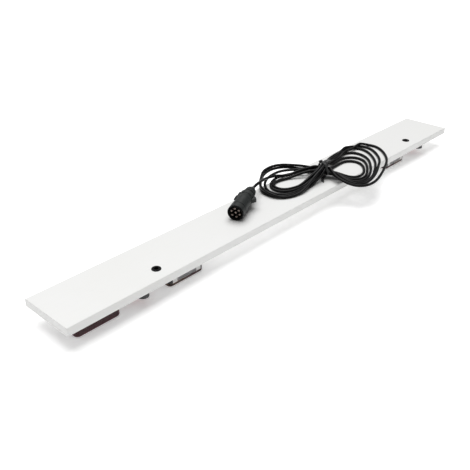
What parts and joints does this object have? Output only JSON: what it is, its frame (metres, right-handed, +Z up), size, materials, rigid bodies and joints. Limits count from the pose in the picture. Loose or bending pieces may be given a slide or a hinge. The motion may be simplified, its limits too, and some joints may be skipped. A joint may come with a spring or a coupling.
{
  "type": "trailer lighting board",
  "caption": "Hollow white lighting board lying on its rear lamps, fog lamp and warning triangles, with a tied hank of black cable and a round plug on its back.",
  "frame": {"origin": "on the floor, under the middle of the board, with the board lying on its lamps", "axes": "+X along the board towards the end without the fog lamp, +Z up out of the back face; -Y is the long edge that is upper in use"},
  "size_m": [1.37, 0.2605, 0.0933],
  "materials": {
    "board_white": "satin white extruded plastic",
    "rubber_black": "matt black rubber",
    "cable_black": "extruded black sheath, satin",
    "lamp_black": "moulded black plastic",
    "bulb_brass": "bright brass",
    "bulb_glass": "clear glass",
    "lens_red": "clear-dyed red lens plastic",
    "screw_steel": "zinc plated",
    "reflector_silver": "vacuum metallised",
    "tie_black": "black strap",
    "lens_clear": "clear fluted plastic",
    "plug_black": "moulded dark grey-black plastic",
    "pin_brass": "plated brass",
    "lamp_white": "moulded white plastic",
    "lens_amber": "clear-dyed amber lens plastic",
    "triangle_red": "prismatic red reflector",
    "wire_black": "taped wires"
  },
  "bodies": {
    "root": {"board_profile": "board_white", "cable_entry_boot": "rubber_black", "cable_hank": "cable_black", "cable_lead": "cable_black", "end_cap_left": "board_white", "end_cap_right": "board_white", "fog_lamp_base": "lamp_black", "fog_lamp_bulb_cap": "bulb_brass", "fog_lamp_bulb_glass": "bulb_glass", "fog_lamp_bulb_holder": "lamp_black", "fog_lamp_gasket": "rubber_black", "fog_lamp_lens": "lens_red", "fog_lamp_lens_screws": "screw_steel", "fog_lamp_mounting_screws": "screw_steel", "fog_lamp_reflector": "reflector_silver", "hank_tie": "tie_black", "mounting_grommet_left": "rubber_black", "mounting_grommet_right": "rubber_black", "plate_window_left": "lens_clear", "plate_window_right": "lens_clear", "plug_cable_seal": "rubber_black", "plug_clamp_nut": "plug_black", "plug_collar_seal": "rubber_black", "plug_contact_carrier": "plug_black", "plug_nut_seal": "rubber_black", "plug_pins": "pin_brass", "plug_rim_seal": "rubber_black", "plug_shell": "plug_black", "plug_terminal_screws": "screw_steel", "rear_lamp_base_left": "lamp_white", "rear_lamp_base_right": "lamp_white", "rear_lamp_bulb_caps_left": "bulb_brass", "rear_lamp_bulb_caps_right": "bulb_brass", "rear_lamp_bulb_glasses_left": "bulb_glass", "rear_lamp_bulb_glasses_right": "bulb_glass", "rear_lamp_bulb_holders_left": "lamp_black", "rear_lamp_bulb_holders_right": "lamp_black", "rear_lamp_end_covers_left": "lamp_black", "rear_lamp_end_covers_right": "lamp_black", "rear_lamp_gasket_left": "rubber_black", "rear_lamp_gasket_right": "rubber_black", "rear_lamp_lens_amber_left": "lens_amber", "rear_lamp_lens_amber_right": "lens_amber", "rear_lamp_lens_red_left": "lens_red", "rear_lamp_lens_red_right": "lens_red", "rear_lamp_lens_screws_left": "screw_steel", "rear_lamp_lens_screws_right": "screw_steel", "rear_lamp_mounting_screws_left": "screw_steel", "rear_lamp_mounting_screws_right": "screw_steel", "rear_lamp_reflector_left": "reflector_silver", "rear_lamp_reflector_right": "reflector_silver", "triangle_backing_left": "lamp_black", "triangle_backing_right": "lamp_black", "triangle_reflector_left": "triangle_red", "triangle_reflector_right": "triangle_red", "triangle_screws_left": "screw_steel", "triangle_screws_right": "screw_steel", "wire_loom_left": "wire_black", "wire_loom_right": "wire_black", "wire_splice": "wire_black"}
  },
  "joints": []
}
